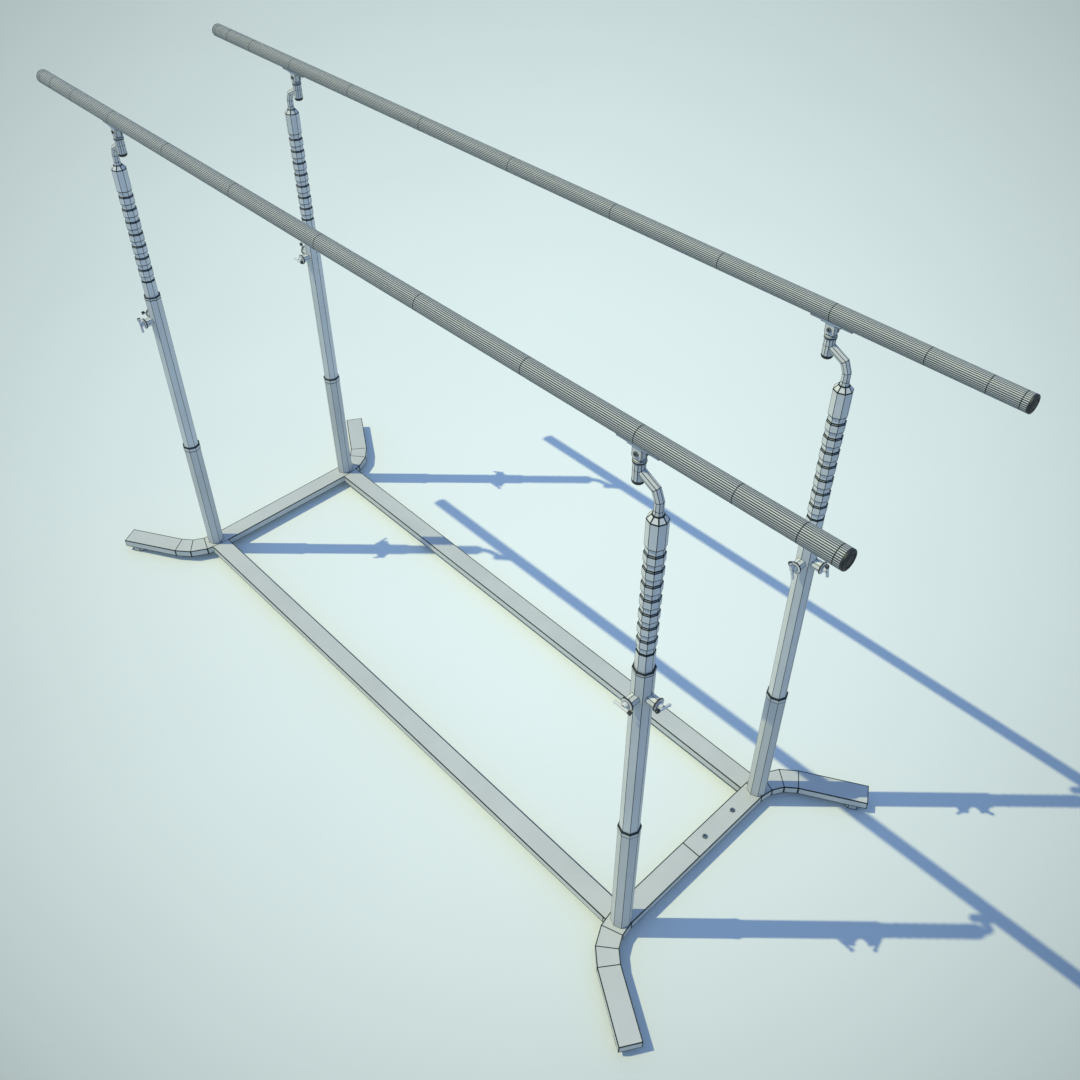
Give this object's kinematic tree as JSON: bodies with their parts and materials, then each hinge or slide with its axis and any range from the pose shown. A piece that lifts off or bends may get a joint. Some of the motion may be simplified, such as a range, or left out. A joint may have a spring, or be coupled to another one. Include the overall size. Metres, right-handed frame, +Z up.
{
  "type": "gymnastics parallel bars",
  "caption": "Freestanding parallel bars: long round rails on telescoping notched posts with swan-neck swivel arms, clamp levers and a splay-footed floor frame.",
  "frame": {"origin": "on the floor, below the middle of the two rails", "axes": "+X along the rails, +Y across from the front rail to the back rail, +Z up"},
  "size_m": [3.456, 1.3312, 2.063],
  "materials": {
    "base_paint": "pale grey powder coat, satin, dark at the edges",
    "upright_paint": "pale grey powder coat, satin, dark at the edges",
    "inner_post_paint": "pale grey powder coat, satin, dark at the edges",
    "arm_paint": "pale grey powder coat, satin, dark at the edges",
    "rail_laminate": "grey lacquered laminate with fine lengthwise grain and dark flutes",
    "black_plastic": "black, moulded",
    "pad_rubber": "grey, matt",
    "fastener_steel": "zinc plated",
    "lever_paint": "grey coat, dark knurled rim"
  },
  "bodies": {
    "base": {"near_cross_beam": "base_paint", "far_cross_beam": "base_paint", "front_long_beam": "base_paint", "back_long_beam": "base_paint", "beam_joint_spigots": "fastener_steel", "beam_bolts": "fastener_steel", "foot_end_plates": "base_paint", "foot_pads": "pad_rubber", "pad_screws": "fastener_steel", "lower_tubes": "upright_paint", "lower_collars": "upright_paint", "lower_bushes": "black_plastic", "middle_tubes": "upright_paint", "lever_bosses": "upright_paint", "upper_collars": "upright_paint", "upper_bushes": "black_plastic"},
    "inner_post_near_front": {"notched_post_near_front": "inner_post_paint", "post_head_near_front": "inner_post_paint"},
    "neck_near_front": {"swan_neck_near_front": "arm_paint", "swivel_housing_near_front": "arm_paint", "housing_seals_near_front": "black_plastic"},
    "saddle_near_front": {"swivel_pin_near_front": "fastener_steel", "rail_clevis_near_front": "arm_paint", "saddle_fasteners_near_front": "fastener_steel", "front_rail": "rail_laminate", "front_rail_caps": "black_plastic"},
    "lever_near_front_side": {"clamp_lever_near_front_side": "lever_paint"},
    "lever_near_front_end": {"clamp_lever_near_front_end": "lever_paint"},
    "inner_post_far_front": {"notched_post_far_front": "inner_post_paint", "post_head_far_front": "inner_post_paint"},
    "neck_far_front": {"swan_neck_far_front": "arm_paint", "swivel_housing_far_front": "arm_paint", "housing_seals_far_front": "black_plastic"},
    "saddle_far_front": {"swivel_pin_far_front": "fastener_steel", "rail_clevis_far_front": "arm_paint", "saddle_fasteners_far_front": "fastener_steel"},
    "lever_far_front_side": {"clamp_lever_far_front_side": "lever_paint"},
    "lever_far_front_end": {"clamp_lever_far_front_end": "lever_paint"},
    "inner_post_near_back": {"notched_post_near_back": "inner_post_paint", "post_head_near_back": "inner_post_paint"},
    "neck_near_back": {"swan_neck_near_back": "arm_paint", "swivel_housing_near_back": "arm_paint", "housing_seals_near_back": "black_plastic"},
    "saddle_near_back": {"swivel_pin_near_back": "fastener_steel", "rail_clevis_near_back": "arm_paint", "saddle_fasteners_near_back": "fastener_steel", "back_rail": "rail_laminate", "back_rail_caps": "black_plastic"},
    "lever_near_back_side": {"clamp_lever_near_back_side": "lever_paint"},
    "lever_near_back_end": {"clamp_lever_near_back_end": "lever_paint"},
    "inner_post_far_back": {"notched_post_far_back": "inner_post_paint", "post_head_far_back": "inner_post_paint"},
    "neck_far_back": {"swan_neck_far_back": "arm_paint", "swivel_housing_far_back": "arm_paint", "housing_seals_far_back": "black_plastic"},
    "saddle_far_back": {"swivel_pin_far_back": "fastener_steel", "rail_clevis_far_back": "arm_paint", "saddle_fasteners_far_back": "fastener_steel"},
    "lever_far_back_side": {"clamp_lever_far_back_side": "lever_paint"},
    "lever_far_back_end": {"clamp_lever_far_back_end": "lever_paint"}
  },
  "joints": [
    {"name": "height_near_front", "type": "slide", "parent": "base", "child": "inner_post_near_front", "axis": [0, 0, 1], "range_m": [-0.389, 0]},
    {"name": "neck_swing_near_front", "type": "hinge", "parent": "inner_post_near_front", "child": "neck_near_front", "pos_m": [1.26, -0.36, 1.854], "axis": [0, 0, 1], "range_deg": [-45, 45]},
    {"name": "saddle_swivel_near_front", "type": "hinge", "parent": "neck_near_front", "child": "saddle_near_front", "pos_m": [1.194, -0.36, 1.9713], "axis": [0, 0, 1], "range_deg": [-45, 45]},
    {"name": "lever_turn_near_front_side", "type": "hinge", "parent": "base", "child": "lever_near_front_side", "pos_m": [1.26, -0.4143, 1.228], "axis": [0, -1, 0], "range_deg": [0, 150]},
    {"name": "lever_turn_near_front_end", "type": "hinge", "parent": "base", "child": "lever_near_front_end", "pos_m": [1.3143, -0.36, 1.228], "axis": [1, 0, 0], "range_deg": [0, 150]},
    {"name": "height_far_front", "type": "slide", "parent": "base", "child": "inner_post_far_front", "axis": [0, 0, 1], "range_m": [-0.389, 0]},
    {"name": "neck_swing_far_front", "type": "hinge", "parent": "inner_post_far_front", "child": "neck_far_front", "pos_m": [-1.26, -0.36, 1.854], "axis": [0, 0, 1], "range_deg": [-45, 45]},
    {"name": "saddle_swivel_far_front", "type": "hinge", "parent": "neck_far_front", "child": "saddle_far_front", "pos_m": [-1.194, -0.36, 1.9713], "axis": [0, 0, 1], "range_deg": [-45, 45]},
    {"name": "lever_turn_far_front_side", "type": "hinge", "parent": "base", "child": "lever_far_front_side", "pos_m": [-1.26, -0.4143, 1.228], "axis": [0, -1, 0], "range_deg": [0, 150]},
    {"name": "lever_turn_far_front_end", "type": "hinge", "parent": "base", "child": "lever_far_front_end", "pos_m": [-1.3143, -0.36, 1.228], "axis": [-1, 0, 0], "range_deg": [0, 150]},
    {"name": "height_near_back", "type": "slide", "parent": "base", "child": "inner_post_near_back", "axis": [0, 0, 1], "range_m": [-0.389, 0]},
    {"name": "neck_swing_near_back", "type": "hinge", "parent": "inner_post_near_back", "child": "neck_near_back", "pos_m": [1.26, 0.36, 1.854], "axis": [0, 0, 1], "range_deg": [-45, 45]},
    {"name": "saddle_swivel_near_back", "type": "hinge", "parent": "neck_near_back", "child": "saddle_near_back", "pos_m": [1.194, 0.36, 1.9713], "axis": [0, 0, 1], "range_deg": [-45, 45]},
    {"name": "lever_turn_near_back_side", "type": "hinge", "parent": "base", "child": "lever_near_back_side", "pos_m": [1.26, 0.3057, 1.228], "axis": [0, -1, 0], "range_deg": [0, 150]},
    {"name": "lever_turn_near_back_end", "type": "hinge", "parent": "base", "child": "lever_near_back_end", "pos_m": [1.3143, 0.36, 1.228], "axis": [1, 0, 0], "range_deg": [0, 150]},
    {"name": "height_far_back", "type": "slide", "parent": "base", "child": "inner_post_far_back", "axis": [0, 0, 1], "range_m": [-0.389, 0]},
    {"name": "neck_swing_far_back", "type": "hinge", "parent": "inner_post_far_back", "child": "neck_far_back", "pos_m": [-1.26, 0.36, 1.854], "axis": [0, 0, 1], "range_deg": [-45, 45]},
    {"name": "saddle_swivel_far_back", "type": "hinge", "parent": "neck_far_back", "child": "saddle_far_back", "pos_m": [-1.194, 0.36, 1.9713], "axis": [0, 0, 1], "range_deg": [-45, 45]},
    {"name": "lever_turn_far_back_side", "type": "hinge", "parent": "base", "child": "lever_far_back_side", "pos_m": [-1.26, 0.3057, 1.228], "axis": [0, -1, 0], "range_deg": [0, 150]},
    {"name": "lever_turn_far_back_end", "type": "hinge", "parent": "base", "child": "lever_far_back_end", "pos_m": [-1.3143, 0.36, 1.228], "axis": [-1, 0, 0], "range_deg": [0, 150]}
  ],
  "couplings": [
    {"joint": "height_far_front", "follows": "height_near_front", "ratio": 1},
    {"joint": "neck_swing_far_front", "follows": "neck_swing_near_front", "ratio": -1},
    {"joint": "saddle_swivel_near_front", "follows": "neck_swing_near_front", "ratio": -1},
    {"joint": "saddle_swivel_far_front", "follows": "neck_swing_near_front", "ratio": 1},
    {"joint": "height_far_back", "follows": "height_near_back", "ratio": 1},
    {"joint": "neck_swing_far_back", "follows": "neck_swing_near_back", "ratio": -1},
    {"joint": "saddle_swivel_near_back", "follows": "neck_swing_near_back", "ratio": -1},
    {"joint": "saddle_swivel_far_back", "follows": "neck_swing_near_back", "ratio": 1}
  ]
}
